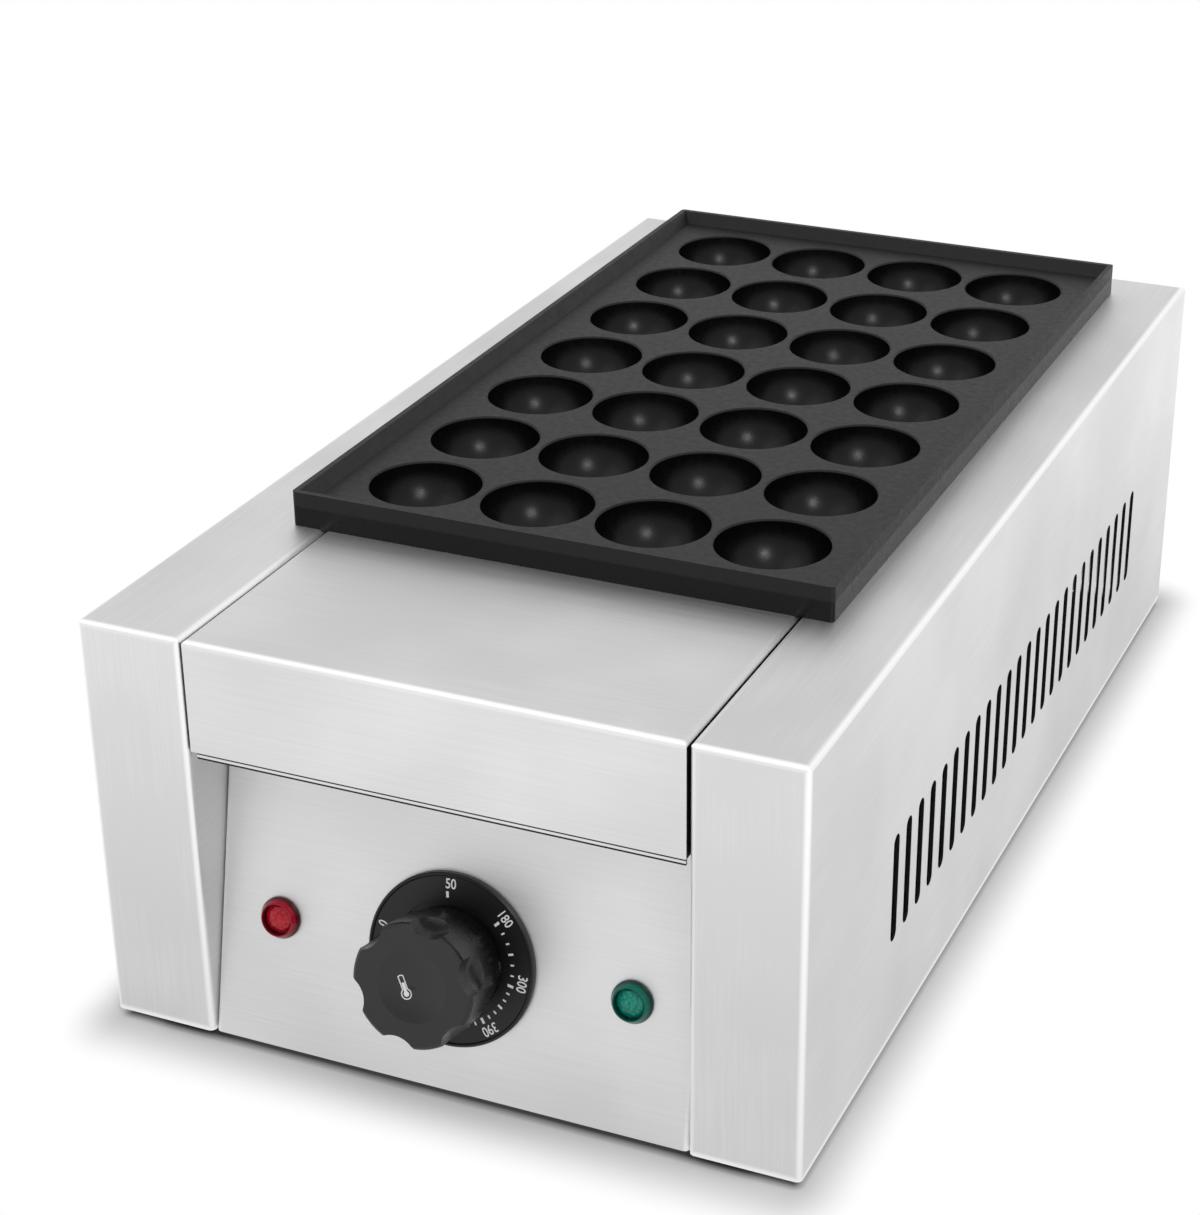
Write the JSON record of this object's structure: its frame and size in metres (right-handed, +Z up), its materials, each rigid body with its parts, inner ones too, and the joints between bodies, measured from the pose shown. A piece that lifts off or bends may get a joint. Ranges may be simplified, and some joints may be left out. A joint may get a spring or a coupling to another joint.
{
  "type": "takoyaki maker",
  "caption": "Countertop electric takoyaki maker: folded steel body with vented sides, inclined control panel with a turning knob, and a cast plate of round cups.",
  "frame": {"origin": "on the table under the middle of the machine's bounding box", "axes": "+Z up, front with the knob towards -Y, +X to the right seen from the front"},
  "size_m": [0.24, 0.4839, 0.157],
  "materials": {
    "panel_steel": "brushed stainless sheet",
    "inner_steel": "plain zinc-coated sheet",
    "plate_coating": "cast, with a black non-stick coating",
    "fastener_steel": "bright zinc",
    "element_sheath": "heat-tinted sheath",
    "ceramic_white": "glazed ceramic",
    "copper": "drawn copper",
    "brass": "turned brass",
    "bakelite": "moulded phenolic",
    "knob_black": "satin moulded",
    "lens_red": "clear red lens over facets",
    "lens_green": "clear green lens over facets",
    "lamp_white": "nylon",
    "gland_black": "nylon",
    "rubber": "matt"
  },
  "bodies": {
    "machine": {"base_pan": "inner_steel", "left_wing": "panel_steel", "right_wing": "panel_steel", "top_cover": "panel_steel", "rear_deck": "panel_steel", "control_panel": "panel_steel", "rear_panel": "panel_steel", "baking_plate": "plate_coating", "plate_studs": "fastener_steel", "plate_nuts": "fastener_steel", "heating_elements": "element_sheath", "element_terminals": "ceramic_white", "clamp_bars": "inner_steel", "clamp_screws": "fastener_steel", "heat_shield": "inner_steel", "shield_screws": "fastener_steel", "sensor_bulb": "copper", "bulb_clip": "inner_steel", "capillary_tube": "copper", "thermostat_body": "bakelite", "thermostat_screws": "fastener_steel", "dial_ring": "knob_black", "red_lamp_lens": "lens_red", "green_lamp_lens": "lens_green", "lamp_bodies": "lamp_white", "lamp_nuts": "lamp_white", "terminal_block": "ceramic_white", "terminal_screws": "brass", "earth_stud": "brass", "earth_nut": "brass", "cable_gland": "gland_black", "gland_cap": "gland_black", "gland_nut": "gland_black", "feet": "rubber", "foot_screws": "fastener_steel", "foot_nuts": "fastener_steel", "base_screws": "fastener_steel", "cover_screws": "fastener_steel", "rear_screws": "fastener_steel"},
    "knob": {"control_knob": "knob_black", "thermostat_shaft": "fastener_steel"}
  },
  "joints": [
    {"name": "knob_turn", "type": "hinge", "parent": "machine", "child": "knob", "pos_m": [0, -0.21059, 0.0463], "axis": [0, 0.9774, -0.2113], "range_deg": [0, 285]}
  ]
}
